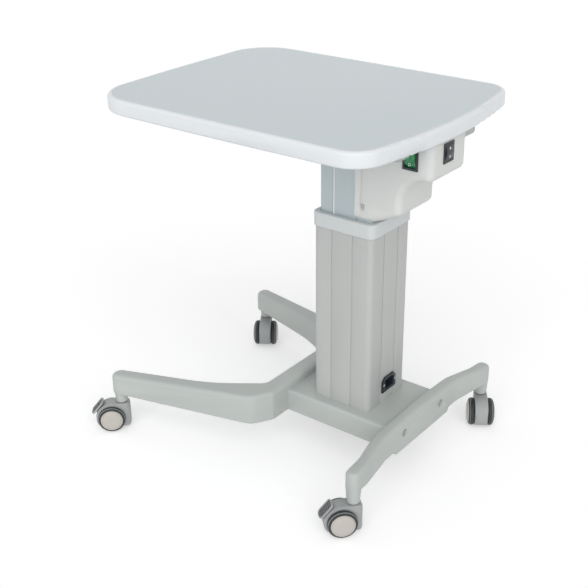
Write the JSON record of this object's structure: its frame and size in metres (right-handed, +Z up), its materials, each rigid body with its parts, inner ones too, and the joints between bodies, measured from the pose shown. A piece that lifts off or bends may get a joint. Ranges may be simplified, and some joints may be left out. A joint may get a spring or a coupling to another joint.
{
  "type": "height-adjustable instrument table",
  "caption": "Motorised lift table: a rounded top carried off-centre on a two-stage column, with a control housing under it, on a splayed beam base with swivel casters.",
  "frame": {"origin": "on the floor under the middle of the whole table, casters as they stand at rest", "axes": "+Z up; X runs along the long side of the top, from the free end of the top towards the column; Y across it"},
  "size_m": [0.5962, 0.48, 0.625],
  "materials": {
    "tabletop": "smooth grey-blue laminate on wood board",
    "edge_band": "white moulded edge band, satin",
    "base_paint": "light grey textured powder coat",
    "column_paint": "light grey powder coat, satin",
    "inner_column": "satin silver-grey coat",
    "housing_plastic": "light grey moulded plastic",
    "collar_plastic": "pale grey moulded plastic",
    "caster_plastic": "grey moulded nylon",
    "tyre": "dark soft tread",
    "hub_plastic": "cream grey moulded caps",
    "steel": "zinc plated steel",
    "bronze": "turned bronze",
    "slide_plastic": "natural acetal",
    "motor_paint": "dark machine paint",
    "gearbox_metal": "die cast",
    "black_plastic": "black moulded plastic",
    "green_lens": "clear green lens",
    "contact_metal": "plated brass",
    "circuit_green": "solder mask",
    "supply_grey": "moulded case"
  },
  "bodies": {
    "base": {"base_plate": "base_paint", "front_beam": "base_paint", "rear_beam": "base_paint", "base_screws": "steel", "caster_stems": "steel", "outer_tube": "column_paint", "top_collar": "collar_plastic", "guide_pads": "slide_plastic", "motor_bracket": "gearbox_metal", "drive_motor": "motor_paint", "gearbox": "gearbox_metal", "spindle_bearing": "steel", "mains_inlet": "black_plastic", "inlet_contacts": "contact_metal", "inlet_screws": "steel"},
    "top": {"inner_tube": "inner_column", "inner_glides": "slide_plastic", "lift_nut": "bronze", "push_tube": "steel", "head_plate": "steel", "top_screws": "steel", "top_frame": "base_paint", "tabletop_board": "tabletop", "tabletop_rim": "edge_band", "control_housing": "housing_plastic", "housing_screws": "steel", "power_bezel": "black_plastic", "lift_bezel": "black_plastic", "rocker_pins": "steel", "control_board": "circuit_green", "power_supply": "supply_grey"},
    "screw": {"lift_spindle": "steel"},
    "power_rocker": {"power_rocker": "green_lens"},
    "lift_rocker": {"lift_rocker": "black_plastic"},
    "swivel_front_near": {"hood_front_near": "caster_plastic", "axle_front_near": "steel"},
    "wheel_front_near_left": {"tyre_front_near_left": "tyre", "hub_front_near_left": "hub_plastic"},
    "wheel_front_near_right": {"tyre_front_near_right": "tyre", "hub_front_near_right": "hub_plastic"},
    "lever_front_near": {"brake_lever_front_near": "caster_plastic"},
    "swivel_rear_near": {"hood_rear_near": "caster_plastic", "axle_rear_near": "steel"},
    "wheel_rear_near_left": {"tyre_rear_near_left": "tyre", "hub_rear_near_left": "hub_plastic"},
    "wheel_rear_near_right": {"tyre_rear_near_right": "tyre", "hub_rear_near_right": "hub_plastic"},
    "lever_rear_near": {"brake_lever_rear_near": "caster_plastic"},
    "swivel_rear_far": {"hood_rear_far": "caster_plastic", "axle_rear_far": "steel"},
    "wheel_rear_far_left": {"tyre_rear_far_left": "tyre", "hub_rear_far_left": "hub_plastic"},
    "wheel_rear_far_right": {"tyre_rear_far_right": "tyre", "hub_rear_far_right": "hub_plastic"},
    "swivel_front_far": {"hood_front_far": "caster_plastic", "axle_front_far": "steel"},
    "wheel_front_far_left": {"tyre_front_far_left": "tyre", "hub_front_far_left": "hub_plastic"},
    "wheel_front_far_right": {"tyre_front_far_right": "tyre", "hub_front_far_right": "hub_plastic"}
  },
  "joints": [
    {"name": "lift", "type": "slide", "parent": "base", "child": "top", "axis": [0, 0, 1], "range_m": [0, 0.2]},
    {"name": "spindle_spin", "type": "hinge", "parent": "base", "child": "screw", "pos_m": [0.12552, 0.03896, 0.16], "axis": [0, 0, 1], "range_deg": [0, 14400.5]},
    {"name": "power_switch", "type": "hinge", "parent": "top", "child": "power_rocker", "pos_m": [0.24292, -0.03554, 0.5703], "axis": [-1, 0, 0], "range_deg": [0, 24]},
    {"name": "lift_switch", "type": "hinge", "parent": "top", "child": "lift_rocker", "pos_m": [0.27752, 0.01016, 0.5764], "axis": [0, 1, 0], "range_deg": [-12, 12], "stiffness_Nm_per_rad": 0.05},
    {"name": "swivel_front_near", "type": "hinge", "parent": "base", "child": "swivel_front_near", "pos_m": [-0.25248, -0.19504, 0.045], "axis": [0, 0, 1], "continuous": true},
    {"name": "wheel_front_near_left", "type": "hinge", "parent": "swivel_front_near", "child": "wheel_front_near_left", "pos_m": [-0.26687, -0.20893, 0.025], "axis": [0.6947, -0.7193, 0], "continuous": true},
    {"name": "wheel_front_near_right", "type": "hinge", "parent": "swivel_front_near", "child": "wheel_front_near_right", "pos_m": [-0.26687, -0.20893, 0.025], "axis": [0.6947, -0.7193, 0], "continuous": true},
    {"name": "brake_front_near", "type": "hinge", "parent": "swivel_front_near", "child": "lever_front_near", "pos_m": [-0.26687, -0.20893, 0.025], "axis": [0.6947, -0.7193, 0], "range_deg": [0, 20]},
    {"name": "swivel_rear_near", "type": "hinge", "parent": "base", "child": "swivel_rear_near", "pos_m": [0.25652, -0.19004, 0.045], "axis": [0, 0, 1], "continuous": true},
    {"name": "wheel_rear_near_left", "type": "hinge", "parent": "swivel_rear_near", "child": "wheel_rear_near_left", "pos_m": [0.24288, -0.20467, 0.025], "axis": [0.7314, -0.682, 0], "continuous": true},
    {"name": "wheel_rear_near_right", "type": "hinge", "parent": "swivel_rear_near", "child": "wheel_rear_near_right", "pos_m": [0.24288, -0.20467, 0.025], "axis": [0.7314, -0.682, 0], "continuous": true},
    {"name": "brake_rear_near", "type": "hinge", "parent": "swivel_rear_near", "child": "lever_rear_near", "pos_m": [0.24288, -0.20467, 0.025], "axis": [0.7314, -0.682, 0], "range_deg": [0, 20]},
    {"name": "swivel_rear_far", "type": "hinge", "parent": "base", "child": "swivel_rear_far", "pos_m": [0.25652, 0.21996, 0.045], "axis": [0, 0, 1], "continuous": true},
    {"name": "wheel_rear_far_left", "type": "hinge", "parent": "swivel_rear_far", "child": "wheel_rear_far_left", "pos_m": [0.2677, 0.20338, 0.025], "axis": [0.829, 0.5592, 0], "continuous": true},
    {"name": "wheel_rear_far_right", "type": "hinge", "parent": "swivel_rear_far", "child": "wheel_rear_far_right", "pos_m": [0.2677, 0.20338, 0.025], "axis": [0.829, 0.5592, 0], "continuous": true},
    {"name": "swivel_front_far", "type": "hinge", "parent": "base", "child": "swivel_front_far", "pos_m": [-0.25248, 0.22496, 0.045], "axis": [0, 0, 1], "continuous": true},
    {"name": "wheel_front_far_left", "type": "hinge", "parent": "swivel_front_far", "child": "wheel_front_far_left", "pos_m": [-0.2413, 0.20838, 0.025], "axis": [0.829, 0.5592, 0], "continuous": true},
    {"name": "wheel_front_far_right", "type": "hinge", "parent": "swivel_front_far", "child": "wheel_front_far_right", "pos_m": [-0.2413, 0.20838, 0.025], "axis": [0.829, 0.5592, 0], "continuous": true}
  ],
  "couplings": [
    {"joint": "spindle_spin", "follows": "lift", "rad_per_m": 1256.6}
  ]
}
